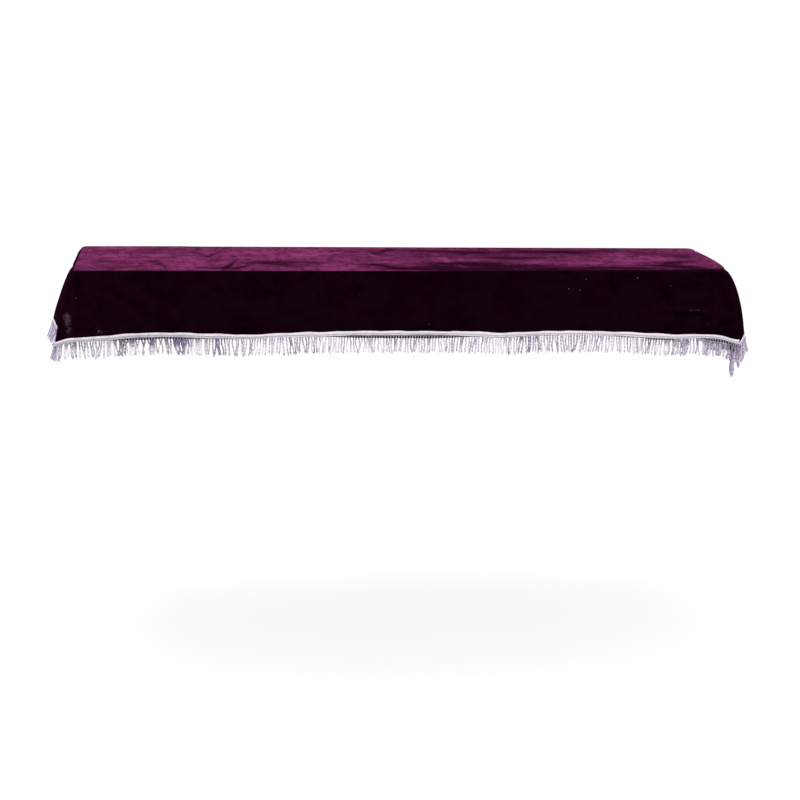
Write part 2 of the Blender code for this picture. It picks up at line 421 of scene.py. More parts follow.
halfFront = cover["topLength"] / 2 - cover["topCorner"]
cornerArc = cover["topCorner"] * math.pi / 2
endEdge = cover["topDepth"] - 2 * cover["topCorner"] + 2 * cornerArc
roundTop = 4 * halfFront + 2 * endEdge


def foldAt(around):
    # the point this far round the top's edge from the middle of the front, and its way out
    around = around % roundTop
    if around > roundTop / 2:
        point, out = foldAt(roundTop - around)
        return point * [-1, 1, 1], out * [-1, 1, 1]
    edge = around - halfFront
    if edge < cornerArc:
        turn = max(edge, 0) / cover["topCorner"]
    elif edge > endEdge - cornerArc:
        turn = math.pi - max(endEdge - edge, 0) / cover["topCorner"]
    else:
        turn = math.pi / 2
    out = np.array([math.sin(turn), -math.cos(turn), 0.0])
    middleX = min(around, halfFront, 2 * halfFront + endEdge - around)
    middleY = min(max(edge - cornerArc, 0), cover["topDepth"] - 2 * cover["topCorner"])
    middle = np.array([middleX, middleY - cover["topDepth"] / 2 + cover["topCorner"], cover["thickness"]])
    return middle + cover["topCorner"] * out, out


def allColumns():
    # around, hem x, hem y, hem z, shoulder and hang of each given column, once round the cover
    halfLength, halfDepth = cover["topLength"] / 2, cover["topDepth"] / 2
    columns = []

    def add(around, x, y, drop, shoulder, hang=1):
        columns.append([around, x, y, -drop * mm, shoulder * mm, hang])

    for share, stand, *rest in cover["front"]:
        x = share * halfFront
        add(x, x, -halfDepth - stand * mm, *rest)
    for edge, past, behind, *rest in cover["right"]:
        add(halfFront + edge * mm, halfLength + past * mm, behind * mm - halfDepth, *rest)
    for share, stand, *rest in reversed(cover["back"]):
        x = share * halfFront
        add(roundTop / 2 - x, x, halfDepth + stand * mm, *rest)
    for edge, past, behind, *rest in reversed(cover["left"]):
        add(roundTop - halfFront - edge * mm, -halfLength - past * mm, behind * mm - halfDepth, *rest)
    return np.array(columns)


class Drape:
    # the smooth hanging surface through the given columns, read by distance along the hem
    def __init__(self, columns):
        steps = np.roll(columns[:, 1:4], -1, axis=0) - columns[:, 1:4]
        lengths = np.linalg.norm(steps, axis=1)
        self.length = lengths.sum()
        starts = np.concatenate([[0], np.cumsum(lengths)])
        self.knots = np.concatenate([starts[-3:-1] - self.length, starts, starts[1:3] + self.length])
        lap = np.array([roundTop, 0, 0, 0, 0, 0])
        self.values = np.concatenate([columns[-2:] - lap, columns, columns[:3] + lap])

    def column(self, along):
        along = along % self.length
        i = int(np.searchsorted(self.knots, along, side="right")) - 1
        k0, k1, k2, k3 = self.knots[i - 1 : i + 3]
        v0, v1, v2, v3 = self.values[i - 1 : i + 3]
        before, here, after = (v1 - v0) / (k1 - k0), (v2 - v1) / (k2 - k1), (v3 - v2) / (k3 - k2)
        slope1 = (v2 - v0) / (k2 - k0)
        slope2 = (v3 - v1) / (k3 - k1)
        # the fold's place only moves onward
        slope1[0] = min(slope1[0], 3 * before[0], 3 * here[0])
        slope2[0] = min(slope2[0], 3 * here[0], 3 * after[0])
        step = k2 - k1
        t = (along - k1) / step
        return (
            v1 * (2 * t**3 - 3 * t**2 + 1)
            + slope1 * step * (t**3 - 2 * t**2 + t)
            + v2 * (3 * t**2 - 2 * t**3)
            + slope2 * step * (t**3 - t**2)
        )

    def points(self, along):
        # down one column, from the fold to a little below the hem's braid
        around, hemX, hemY, hemZ, shoulder, hang = self.column(along)
        fold, out = foldAt(around)
        hem = np.array([hemX, hemY, hemZ + cover["thickness"]])
        upright = np.array([0.0, 0.0, fold[2] - hem[2]])
        aboveHem = hem + cover["hangsOver"] * (hang * upright + (1 - hang) * (fold - hem))
        t = np.linspace(0, 1, cover["curveSteps"] + 1)[:, None]
        reach = fold + shoulder * out
        curve = (
            (1 - t) ** 3 * fold + 3 * t * (1 - t) ** 2 * reach + 3 * t**2 * (1 - t) * aboveHem + t**3 * hem
        )
        walked = np.concatenate([[0], np.cumsum(np.linalg.norm(np.diff(curve, axis=0), axis=1))])
        foldRows = np.array(cover["foldRows"]) * mm
        hangingRows = np.linspace(foldRows[-1], walked[-1], cover["hangingRows"] + 1)[1:]
        rows = np.concatenate([foldRows, hangingRows])
        found = np.stack([np.interp(rows, walked, curve[:, axis]) for axis in range(3)], axis=1)
        last = found[-1] - found[-2]
        return np.vstack([found, found[-1] + shownBelow(hem) * last / np.linalg.norm(last)])


drape = Drape(allColumns())
columnCount = round(drape.length / cover["columnPitch"])
alongHem = np.arange(columnCount) * drape.length / columnCount
hung = np.array([drape.points(along) for along in alongHem])


def outwards(grid):
    around = np.roll(grid, -1, axis=0) - np.roll(grid, 1, axis=0)
    down = np.gradient(grid, axis=1)
    normals = np.cross(down, around)
    return normals / np.linalg.norm(normals, axis=2, keepdims=True)


# the ways across each side, down it and out of it
sides = {
    "top": {"across": (1, 0, 0), "down": (0, -1, 0), "faces": (0, 0, 1)},
    "front": {"across": (1, 0, 0), "down": (0, 0, -1), "faces": (0, -1, 0)},
    "right": {"across": (0, 1, 0), "down": (0, 0, -1), "faces": (1, 0, 0)},
    "back": {"across": (-1, 0, 0), "down": (0, 0, -1), "faces": (0, 1, 0)},
    "left": {"across": (0, -1, 0), "down": (0, 0, -1), "faces": (-1, 0, 0)},
}
# soft creases, by the side that they are on: both ends in mm across and down that side, the width,
# and how far it stands out, or in where it is negative
creases = {
    "top": [
        (-410, 11, -378, -74, 7, 0.9),
        (-395, 0, -432, -62, 7, 0.6),
        (-368, 122, -348, 30, 8, 0.7),
        (-68, -102, -41, -15, 8, 0.9),
        (-66, 56, -20, 97, 9, 0.8),
        (-285, 50, -199, 59, 12, -0.6),
        (26, 46, 245, 64, 16, -0.7),
        (213, 64, 411, 83, 10, 0.6),
        (440, 52, 633, 60, 12, 0.7),
        (-600, -112, -470, -120, 16, 1.4),
    ],
    "front": [
        (-600, 12, -536, 45, 9, 1.6),
        (-536, 45, -470, 82, 11, 1.4),
        (-640, 24, -591, 60, 9, 1.5),
        (-591, 60, -524, 108, 11, 1.6),
        (-606, 62, -558, 106, 8, -1.3),
        (-549, 60, -528, 98, 8, -1.2),
        (-492, 46, -455, 68, 9, -1.0),
        (-498, 84, -464, 112, 8, -1.1),
        (-398, 30, -391, 58, 7, 0.9),
        (-391, 58, -371, 104, 9, 1.1),
        (548, 76, 636, 82, 5, 1.1),
        (560, 84, 628, 90, 6, -0.9),
        (-120, 70, -60, 120, 16, 0.7),
        (150, 60, 210, 112, 18, 0.8),
        (402, 12, 412, 70, 10, 0.6),
        (536, 30, 548, 118, 12, -0.7),
    ],
    "back": [
        (-560, 30, -470, 100, 12, 1.6),
        (-500, 24, -390, 84, 12, -1.2),
        (-180, 60, -90, 120, 16, 1.0),
        (120, 40, 150, 118, 16, 1.1),
        (430, 100, 560, 36, 13, 1.6),
        (380, 70, 470, 30, 10, -1.1),
    ],
    "right": [
        (-30, 24, 10, 128, 12, 1.4),
        (30, 40, 46, 130, 12, -1.2),
    ],
    "left": [
        (10, 24, -20, 120, 12, 1.4),
        (-50, 36, -44, 118, 10, -1.1),
    ],
}


def seenFrom(name, grid, normals):
    # how much each point faces this side, and its place across and down it
    faces, across, down = (np.array(sides[name][key], float) for key in ("faces", "across", "down"))
    return np.clip(normals @ faces, 0, 1) ** 2, grid @ across, grid @ down


def creaseRelief(grid, normals):
    # how far the creases move each point: they fade in and out along their length
    moved = np.zeros(grid.shape[:2])
    for name in sides:
        facing, across, down = seenFrom(name, grid, normals)
        for fromAcross, fromDown, toAcross, toDown, width, out in creases[name]:
            start = np.array([fromAcross, fromDown]) * mm
            run = np.array([toAcross, toDown]) * mm - start
            length = np.linalg.norm(run)
            share = ((across - start[0]) * run[0] + (down - start[1]) * run[1]) / length**2
            off = ((across - start[0]) * run[1] - (down - start[1]) * run[0]) / length
            beyond = np.maximum(np.maximum(-share, share - 1), 0) * length
            spread = off**2 + (0.6 * beyond) ** 2
            moved += facing * out * mm * np.exp(-spread / (width * mm) ** 2)
    return moved


def addCreases(grid):
    normals = outwards(grid)
    return grid + creaseRelief(grid, normals)[:, :, None] * normals


# the cloth is never quite even: long slack waves, and small puckers where the braid is sewn on
slack = {
    # length in m, size in mm and start
    "waves": [(0.31, 0.6, 0.5), (0.17, 0.45, 2.1), (0.093, 0.3, 4.0)],
    "puckers": [(0.041, 0.45, 1.3), (0.067, 0.55, 3.1), (0.0236, 0.2, 0.4)],
    "puckerReach": 0.022,
}


def addSlack(grid):
    drop = np.linspace(0, 1, grid.shape[1])[None, :]
    aboveHem = np.linalg.norm(grid - grid[:, -1:], axis=2)
    around = alongHem[:, None]
    # the slack grows down the cloth, and the puckers die away above its hem
    kinds = {
        "waves": (2 * drop, drop**1.5),
        "puckers": (2 * np.sin(7 * around), np.exp(-((aboveHem / slack["puckerReach"]) ** 2))),
    }
    moved = np.zeros(grid.shape[:2])
    for kind, (shift, strength) in kinds.items():
        for length, size, start in slack[kind]:
            turns = round(drape.length / length) * around / drape.length
            moved += size * mm * strength * np.sin(2 * math.pi * turns + start + shift)
    return grid + moved[:, :, None] * outwards(grid)


hung = addSlack(addCreases(hung))
hungOut = outwards(hung)


# the left end, where the top's edge is rolled over
rolledEdge = {"wideAtBack": 0.001, "wideAtFront": 0.006, "sinks": 0.0012}


# marks by side, in the pile where it lies another way, and on the front painted light and shade on its
# folds: the middle in mm across and down that side, the angle in degrees, the half length, the half width,
# and how much lighter or darker it looks
pileMarks = {
    "top": [
        # the first two darken the top broadly over its middle and right
        (250, 0, 0, 190, 150, -0.46),
        (590, 0, 0, 150, 150, -0.18),
        (-394, -32, -68, 50, 5, -1.4),
        (-412, -26, 55, 34, 5, -1.0),
        (-430, -52, 30, 30, 7, -0.9),
        (-452, -28, 8, 34, 8, -0.6),
        (-484, 4, -30, 26, 7, -0.6),
        (-358, 80, -76, 52, 6, -1.5),
        (-336, 96, -50, 34, 6, -1.2),
        (-376, 104, 0, 40, 12, -0.9),
        (-318, 52, -30, 26, 8, -0.5),
        (-508, 36, 4, 20, 10, -1.3),
        (-566, 92, -8, 50, 10, -0.4),
        (-606, 40, 4, 30, 14, -0.5),
        (-600, 106, 0, 60, 10, -0.3),
        (-520, -118, 0, 60, 6, -0.9),
        (-242, 40, -4, 60, 12, -0.7),
        (-268, 62, 12, 40, 9, -0.6),
        (-214, 82, 3, 60, 10, -0.5),
        (-176, 56, 0, 22, 12, -0.6),
        (-128, -24, 0, 40, 13, -0.5),
        (-100, -76, 10, 34, 10, -0.6),
        (-53, -60, 72, 46, 6, -1.1),
        (-30, -74, -50, 34, 7, -0.9),
        (-12, -92, 4, 34, 9, -0.7),
        (-46, 76, 38, 38, 9, -1.1),
        (-60, 70, 8, 34, 10, -1.2),
        (-4, 100, 0, 48, 12, -1.1),
        (22, 108, 0, 60, 10, -1.0),
        (56, 84, 12, 34, 14, -0.9),
        (150, -70, 2, 70, 16, -0.9),
        (60, -86, 4, 46, 14, -0.7),
        (122, 56, -3, 66, 18, -1.2),
        (92, 92, 0, 36, 12, -0.9),
        (196, 80, 3, 74, 14, -1.3),
        (160, 106, 0, 60, 10, -0.9),
        (300, 104, 0, 110, 12, -1.0),
        (150, 122, 0, 115, 13, -1.4),
        (238, -4, -4, 70, 12, -0.8),
        (330, -78, 0, 90, 14, -0.9),
        (290, 72, 4, 60, 9, -0.7),
        (424, 92, 2, 70, 13, -1.0),
        (396, -60, 8, 34, 12, -0.6),
        (452, -94, 0, 60, 10, -0.6),
        (530, 70, 5, 70, 13, -0.8),
        (566, 52, -24, 34, 22, -1.1),
        (598, 84, 14, 30, 15, -1.1),
        (500, 100, 0, 60, 10, -0.8),
        (606, 30, -20, 34, 14, -0.7),
        (610, 100, 0, 60, 12, -0.5),
        (560, -60, 4, 40, 12, -0.6),
        (622, -34, -20, 26, 30, -0.5),
        (92, 8, 80, 44, 8, 0.8),
        (118, 76, 60, 26, 6, 0.8),
        (176, 14, 0, 46, 14, 0.6),
        (352, 48, 2, 84, 14, 0.6),
        (470, 10, 0, 70, 30, 0.6),
        (512, -30, 14, 50, 14, 0.6),
        (580, 8, -3, 50, 14, 0.6),
        (-470, 30, 0, 70, 12, 0.5),
        (-590, -20, 0, 80, 20, 0.4),
        (-300, 0, 0, 60, 14, 0.6),
        (-306, -60, -20, 50, 12, 0.5),
        (-150, 70, 0, 36, 10, 0.6),
        (-200, -30, 4, 60, 14, 0.5),
    ],
    # on the front the marks are painted light and shade on its folds: grey sheen patches by the left
    # corner, light lines on crests and dark ones in the valleys beside them
    "front": [
        (-681, 98, 84, 36, 9, 3.2),
        (-618, 120, 30, 13, 8, 2.4),
        (-430, 110, 20, 18, 9, 1.1),
        (-669, 60, 90, 60, 4, 1.2),
        (-677, 56, 88, 22, 4, -1.2),
        (411, 34, 88, 22, 3, 1.0),
        (540, 64, 88, 8, 2, 1.4),
        (592, 76, 4, 44, 4, 2.2),
        (596, 86, 4, 40, 6, -1.2),
        (655, 90, 82, 40, 14, 0.8),
    ],
    "back": [
        (-420, 60, 40, 70, 9, 1.0),
        (-80, 84, 80, 40, 12, 0.8),
        (260, 50, 8, 60, 10, 0.7),
        (500, 70, -40, 60, 10, 1.0),
    ],
    "right": [
        (20, 70, 80, 40, 10, 0.8),
        (-116, 70, 86, 60, 13, 1.2),
    ],
    "left": [
        (-10, 60, 84, 40, 12, 0.8),
    ],
}


def markTones(grid, normals):
    # the sum of all marks at each point: a mark is strongest in its middle and fades out round it
    tones = np.zeros(grid.shape[:2])
    for name in sides:
        facing, across, down = seenFrom(name, grid, normals)
        for middleAcross, middleDown, degrees, long, wide, tone in pileMarks[name]:
            x, y = across - middleAcross * mm, down - middleDown * mm
            angle = math.radians(degrees)
            ahead = (x * math.cos(angle) + y * math.sin(angle)) / (long * mm)
            aside = (y * math.cos(angle) - x * math.sin(angle)) / (wide * mm)
            tones += facing * tone * np.exp(-(ahead**2) - aside**2)
    return tones


def rolledOver(points):
    # how far a point of the top lies inside the rolled strip at its left edge, in metres
    share = points[..., 1] / cover["topDepth"] + 0.5
    wide = rolledEdge["wideAtFront"] + (rolledEdge["wideAtBack"] - rolledEdge["wideAtFront"]) * share
    return wide - (points[..., 0] + cover["topLength"] / 2)


def wholeGrid():
    # the flat top, ring by ring out from its long middle line to the fold, and the hanging cloth
    fold = hung[:, 0]
    halfSpine = (cover["topLength"] - cover["topDepth"]) / 2
    spine = fold * [1, 0, 1]
    spine[:, 0] = np.clip(spine[:, 0], -halfSpine, halfSpine)
    way = (spine - fold) / (cover["topDepth"] / 2)
    rings = [fold + way * ring * mm for ring in reversed(cover["topRings"])]
    grid = np.concatenate([np.stack(rings, axis=1), hung], axis=1)
    flat = np.clip(1 - np.abs(grid[..., 2] - cover["thickness"]) / cover["flatWithin"], 0, 1)
    rolled = np.clip(rolledOver(grid) / rolledEdge["wideAtFront"], 0, 1)
    far = np.clip(grid[..., 1] / cover["topDepth"] + 0.5, 0, 1)
    grid[..., 2] -= flat * (rolledEdge["sinks"] * rolled**1.5 + cover["backSinks"] * far**3)
    return grid


def zipped(x):
    # triangles between the front and the back half of a long ring, given its points' places along it
    left, right = int(np.argmin(x)), int(np.argmax(x))
    near = [i % len(x) for i in range(left, left + (right - left) % len(x) + 1)]
    far = [i % len(x) for i in range(left - 1, left - (left - right) % len(x), -1)]
    faces, f, b = [], 0, 0
    while f < len(near) - 1 or b < len(far) - 1:
        if b == len(far) - 1 or (f < len(near) - 1 and x[near[f + 1]] <= x[far[b + 1]]):
            faces.append([near[f], near[f + 1], far[b]])
            f += 1
        else:
            faces.append([near[f], far[b + 1], far[b]])
            b += 1
    return faces


# the top's lighter colour is painted sheen, standing in for the light from above on the pile seen at a
# slant; it ends sharply at the fold, except on the soft shoulder at the right
topLight = {
    "level": (0.90, 0.08),  # how level the cloth is where the light starts, and over how much it grows
    "levelOnShoulder": (0.38, 0.42),
    "shoulder": (0.62, 0.04),  # where the shoulder starts along the cover, in m, and over how far
    "rolled": 0.0025,
    # towards the right the front fold is rounder, and the light stops this far short of it, in m
    "shortAt": ([0.02, 0.10, 0.22, 0.29, 0.55, 0.62], [0, 0.008, 0.012, 0.022, 0.024, 0.030]),
    "shortOver": 0.012,
}
creaseLightAndShade = 0.45  # how much painted light a crease gets on its crest, and painted shade in its trough, for each mm that it stands out or in


def topLit(grid, normals):
    # 1 where the top's painted sheen colour is used and 0 where the sides' own dark one is
    starts, over = topLight["shoulder"]
    soft = np.clip((grid[..., 0] - starts) / over, 0, 1)
    level, grows = (a + (b - a) * soft for a, b in zip(topLight["level"], topLight["levelOnShoulder"]))
    lit = np.clip((normals[..., 2] - level) / grows, 0, 1)
    lit *= np.clip(1 - rolledOver(grid) / topLight["rolled"], 0, 1)
    short = np.interp(grid[..., 0], *topLight["shortAt"])
    behindFold = grid[..., 1] + cover["topDepth"] / 2
    return lit * np.clip(1 + (behindFold - short) / topLight["shortOver"], 0, 1)


def makeCloth():
    grid = wholeGrid()
    normals = outwards(grid)
    count, rows = grid.shape[:2]
    faces = []
    for i in range(count):
        j = (i + 1) % count
        for row in range(rows - 1):
            faces.append([i * rows + row, i * rows + row + 1, j * rows + row + 1, j * rows + row])
    faces += [[i * rows for i in face] for face in zipped(grid[:, 0, 0])]
    piece = meshPiece("velvet_cover", grid.reshape(-1, 3), faces)

    # the marks, with painted light on the creases' crests and painted shade in their troughs
    marks = markTones(grid, normals) + creaseLightAndShade * creaseRelief(grid, normals) / mm
    aboveHem = np.linalg.norm(grid - grid[:, -1:], axis=2)
    addAttributes(piece, {"pileMarkAndPaintedLight": marks, "paintedTopSheen": topLit(grid, normals), "aboveHem": aboveHem})
    return piece


velvet = {
    "sides": ((0.0020, 0.0001, 0.0009), (0.0086, 0.0008, 0.0044)),  # from dark pile to light
    # the top: the same velvet, with painted sheen from the light above, from dark to light
    "top": ((0.016, 0.0018, 0.0085), (0.215, 0.033, 0.124)),
    "dusty": (0.0064, 0.0020, 0.0038),  # the duller patches on the sides
    "paintedSheenGrey": (0.046, 0.036, 0.043),  # painted grey sheen on the folds of the sides
    "lint": (0.30, 0.25, 0.29),
    "sheen": 0.05,
    "sheenTint": (0.50, 0.08, 0.32),
    "backing": ((0.010, 0.002, 0.007), (0.022, 0.005, 0.016)),
    # sizes of the pile's patterns
    "broad": (0.19, 0.12, 0.10),
    "patches": (0.046, 0.040, 0.034),
    "fine": (0.012, 0.017, 0.010),
    "crinkles": (0.060, 0.064, 0.050),
    "fibre": (0.0009, 0.0009, 0.0009),
    "dull": (0.075, 0.075, 0.060),
    "lintApart": (0.012, 0.012, 0.012),
}


def velvetFinish():
    pile = Finish("deepPurpleVelvet")
    place = pile.place()
    mark = pile.attribute("pileMarkAndPaintedLight")

    def pattern(name, **settings):
        return pile.noise(pile.scaled(place, velvet[name]), **settings)

    # the pile lies in brushed patches with crumpled edges, and its tips make a fine grain
    broad = pattern("broad", detail=2)
    patches = pattern("patches", detail=5, roughness=0.7, distortion=1.3)
    fine = pattern("fine", detail=3, roughness=0.65, distortion=0.8)
    crinkled = pattern("crinkles", detail=3, roughness=0.6, distortion=2.2)
    crinkles = (crinkled - 0.5).absolute().ramp(0.0, 0.06, 1, 0) * broad.ramp(0.45, 0.60)
    fibre = pattern("fibre", detail=2)
    nap = (broad - 0.5) * 1.3 + (patches - 0.5) * 2.6 + (fine - 0.5) * 1.8 - crinkles * 0.32
    torn = mark * ((patches - 0.5) * 2.4 + (fine - 0.5) * 2.6 + 0.75)
    lit = (nap * 0.70 + torn * 0.75 + 0.56).ramp(-0.18, 1.24)
    # painted sheen: the top takes its lighter colours where the cloth lies level
    paintedTopSheenShare = (pile.attribute("paintedTopSheen") + (fine - 0.5) * 0.5).ramp(0.25, 0.75)
    # painted light: the sides a little lighter in a band just above the braid
    paintedLightAboveHem = pile.attribute("aboveHem").ramp(0.012, 0.020, 1, 0)

    darkSide, lightSide = velvet["sides"]
    darkTop, lightTop = velvet["top"]
    dull = pattern("dull", detail=3, distortion=0.8)
    sideColour = pile.blended(lit * 0.9 + paintedLightAboveHem * 0.3, darkSide, lightSide)
    sideColour = pile.blended(dull.ramp(0.42, 0.66) * 0.65, sideColour, velvet["dusty"])
    # painted sheen: grey where the marks on the sides are strongest
    paintedSheenPatches = (mark - 1.2).atLeast(0.0) * ((patches - 0.5) * 4 + (fine - 0.5) * 5 + 0.55).atLeast(0.0)
    sideColour = pile.blended(paintedSheenPatches.ramp(0, 1.3), sideColour, velvet["paintedSheenGrey"])
    colour = pile.blended(paintedTopSheenShare, sideColour, pile.blended(lit, darkTop, lightTop))

    # specks of lint here and there
    cells = {"Vector": pile.scaled(place, velvet["lintApart"]), "Scale": 1.0}
    speck = pile.node("ShaderNodeTexVoronoi", {}, cells, out="Distance").ramp(0.05, 0.09, 1, 0)
    chosen, dim, _ = pile.parts(pile.node("ShaderNodeTexVoronoi", {}, cells, out="Color"))
    lint = speck * chosen.ramp(0.955, 0.965) * (dim * dim)
    height = nap * 0.6 + torn * 0.3 + fibre * 0.35
    pile.set(
        baseColour=pile.blended(lint, colour, velvet["lint"]),
        roughness=0.9,
        specular=0.0,
        sheen=velvet["sheen"],
        sheenRoughness=0.35,
        sheenTint=velvet["sheenTint"],
        normal=pile.bump(height, 0.0020, 0.6),
    )
    return pile.material


def backingFinish():
    knit = Finish("velvetBacking")
    place = knit.place()
    rows = knit.noise(knit.scaled(place, (0.0018, 0.0018, 0.0018)), detail=2)
    knit.set(
        baseColour=knit.blended(rows, *velvet["backing"]),
        roughness=0.85,
        specular=0.15,
        normal=knit.bump(rows, 0.0005, 0.5),
    )
    return knit.material


cloth = makeCloth()
cloth.data.materials.append(velvetFinish())
cloth.data.materials.append(backingFinish())
useModifier(
    cloth,
    "SOLIDIFY",
    thickness=cover["thickness"],
    offset=-1,
    material_offset=1,
    material_offset_rim=0,
)
shadeSmooth(cloth)
print("velvet cloth hung:", len(cloth.data.polygons), "faces")


# the braid: a satin strip with raised cords along its edges, sewn over the velvet's hem

braid = {
    "height": 0.0094,
    "standOff": 0.0004,  # gap to the velvet
    "belowHem": 0.001,
    # across the strip from its lower edge to its upper one: share of the height, mm of thickness
    "section": [
        (0.00, 0.30), (0.04, 0.80), (0.10, 1.05), (0.17, 1.00), (0.23, 0.70), (0.27, 0.35),
        (0.31, 0.55), (0.37, 0.75), (0.43, 0.55), (0.47, 0.35),
        (0.52, 0.90), (0.61, 1.30), (0.72, 1.45), (0.83, 1.35), (0.93, 1.00), (1.00, 0.30),
    ],
    # waves along it: length in m, size in mm and start
    "waver": [(0.027, 0.072, 1.0), (0.083, 0.18, 0.7), (0.147, 0.27, 4.1), (0.29, 0.24, 2.2)],
    # the same for its height, as shares of it
    "swell": [(0.061, 0.05, 1.9), (0.19, 0.06, 0.2), (0.33, 0.05, 5.0)],
    # where more velvet shows below it, it is narrower and higher by these shares of that
    "narrows": 0.22,
    "rises": 0.33,
    "chevron": 0.0031,  # length along the braid
    "stitch": 0.0022,
    "upperCord": 0.74,  # its middle, as a share of the height
    "groove": 0.40,
    "light": (0.93, 0.86, 0.92),
    "shade": (0.33, 0.27, 0.38),
    "grooveColour": (0.17, 0.16, 0.20),
}


def hemLines():
    # along the hem: its point, the way down the cloth and the way out of it, read a few rows up
    hem = hung[:, -2]
    down = hem - hung[:, -5]
    down /= np.linalg.norm(down, axis=1, keepdims=True)
    return hem, down, hungOut[:, -3]


hemPoint, hemDown, hemOut = hemLines()
hemWalk = np.concatenate([[0], np.cumsum(np.linalg.norm(np.roll(hemPoint, -1, axis=0) - hemPoint, axis=1))])
hemLength = hemWalk[-1]
hemShown = np.array([shownBelow(point) for point in hemPoint])


def alongTheHem(values, walk):
    # values given at the cloth's columns, read at this distance along the hem
    closed = np.vstack([values, values[:1]])
    walk = np.mod(walk, hemLength)
    return np.stack([np.interp(walk, hemWalk, closed[:, axis]) for axis in range(3)], axis=-1)


def sumOfWaves(rows, walk):
    total = 0
    for length, size, start in rows:
        total += size * np.sin(2 * math.pi * round(hemLength / length) * walk / hemLength + start)
    return total


def makeBraid():
    section = braid["section"]
    points, uv = [], []
    for i in range(columnCount):
        waver = sumOfWaves(braid["waver"], hemWalk[i]) * mm
        showsMore = hemShown[i] - hemShows["least"]
        height = braid["height"] * (1 + sumOfWaves(braid["swell"], hemWalk[i]))
        height -= braid["narrows"] * showsMore
        sunk = braid["belowHem"] - waver - braid["rises"] * showsMore
        foot = hemPoint[i] + sunk * hemDown[i] + braid["standOff"] * hemOut[i]
        for share, thick in section:
            points.append(foot - share * height * hemDown[i] + thick * mm * hemOut[i])
            uv.append((hemWalk[i], share * braid["height"]))
        points.append(foot - height * hemDown[i])
        uv.append((hemWalk[i], braid["height"]))
        points.append(foot)
        uv.append((hemWalk[i], 0))
    corners = len(section) + 2
    piece = meshPiece("hem_braid", points, tubeFaces(columnCount, corners))
    setUv(piece, "weave", uv)
    return piece


def braidFinish():
    # gimp braid: chevrons on the wide upper cord, a dull groove, and a narrow cord below it
    gimp = Finish("pearlBraid")
    place = gimp.place()
    x, _, _ = gimp.parts(place)
    u, v, _ = gimp.parts(gimp.node("ShaderNodeUVMap", {"uv_map": "weave"}, {}))
    share = v * (1 / braid["height"])
    slanted = u + (share - braid["upperCord"]).absolute() * 0.0040
    chevron = (slanted * (2 * math.pi / braid["chevron"])).sine()
    stitch = (u * (2 * math.pi / braid["stitch"])).sine()
    uneven = gimp.noise(gimp.scaled(place, (0.012, 0.012, 0.012)), detail=5, roughness=0.75)
    upper = share.ramp(0.47, 0.56)
    edge = share.ramp(0.93, 1.0, 0, 0.25)
    groove = (share - braid["groove"]).absolute().ramp(0.05, 0.15, 1, 0)
    threads = chevron * (upper * 0.16) + stitch * (1 - upper) * 0.16
    # painted shade: the braid is darker towards its left end, where the tangled fringe lies in shadow, and
    # a little lighter towards the right
    paintedShadeToLeft = x.ramp(-0.45, -0.15, -0.06, 0.10)
    tone = upper * 0.26 + 0.52 - edge + threads + (uneven - 0.5) * 1.5 + paintedShadeToLeft
    colour = gimp.blended(tone.ramp(0, 1.0), braid["shade"], braid["light"])
    colour = gimp.blended(groove * (uneven.ramp(0.35, 0.60) * 0.65), colour, braid["grooveColour"])
    gimp.set(
        baseColour=colour,
        roughness=0.42,
        specular=0.5,
        sheen=0.2,
        sheenRoughness=0.4,
        sheenTint=(0.95, 0.88, 1.0),
        normal=gimp.bump(chevron * upper + stitch * (1 - upper), 0.0004, 0.7),
    )
    return gimp.material


hemBraid = makeBraid()
hemBraid.data.materials.append(braidFinish())
shadeSmooth(hemBraid)
print("braid sewn on:", len(hemBraid.data.polygons), "faces")


# the header cord: a scalloped cord from which the strands hang, with velvet showing through it

header = {
    "pitch": 0.0057,
    "thick": 0.0009,
    "sides": 4,
    "steps": 14,
    "outBy": 0.0008,  # how far it stands out of the cloth
    "tucked": 0.6,  # the share less of that where it runs behind the braid
    "hidden": 0.0008,  # how far up behind the braid it runs
    "overRoot": 0.0002,
    "narrow": 6,  # a higher power makes its loops narrower
    "ply": 0.0024,
    "light": (0.84, 0.79, 0.87),
    "shade": (0.45, 0.38, 0.52),
}
strandCount = round(hemLength / header["pitch"])


def rootsBelow(walks):
    # the strands hang from just above the lower edge of the velvet that shows
    return np.interp(walks, hemWalk, np.append(hemShown, hemShown[0])) - header["overRoot"]


def makeHeader():
    steps, sides = header["steps"], header["sides"]
    points, uv = [], []
    total = strandCount * steps
    walks = np.arange(total) * hemLength / total
    at, down, out = (alongTheHem(values, walks) for values in (hemPoint, hemDown, hemOut))
    # a narrow loop at each strand: 0 at its foot and 1 behind the braid
    wave = 1 - (0.5 + 0.5 * np.cos(2 * math.pi * np.arange(total) / steps)) ** header["narrow"]
    foot, head = rootsBelow(walks) + header["overRoot"], braid["belowHem"] - header["hidden"]
    sink = foot + (head - foot) * wave
    path = at + sink[:, None] * down + (header["outBy"] * (1 - header["tucked"] * wave))[:, None] * out
    ahead = np.roll(path, -1, axis=0) - np.roll(path, 1, axis=0)
    ahead /= np.linalg.norm(ahead, axis=1, keepdims=True)
    across = np.cross(ahead, out)
    for i in range(total):
        for k in range(sides):
            turn = 2 * math.pi * (k + 0.5) / sides
            way = math.cos(turn) * out[i] + math.sin(turn) * across[i]
            points.append(path[i] + header["thick"] / 2 * way)
            uv.append((walks[i], k * header["thick"] / sides))
    piece = meshPiece("header_cord", points, tubeFaces(total, sides))
    setUv(piece, "weave", uv)
    return piece


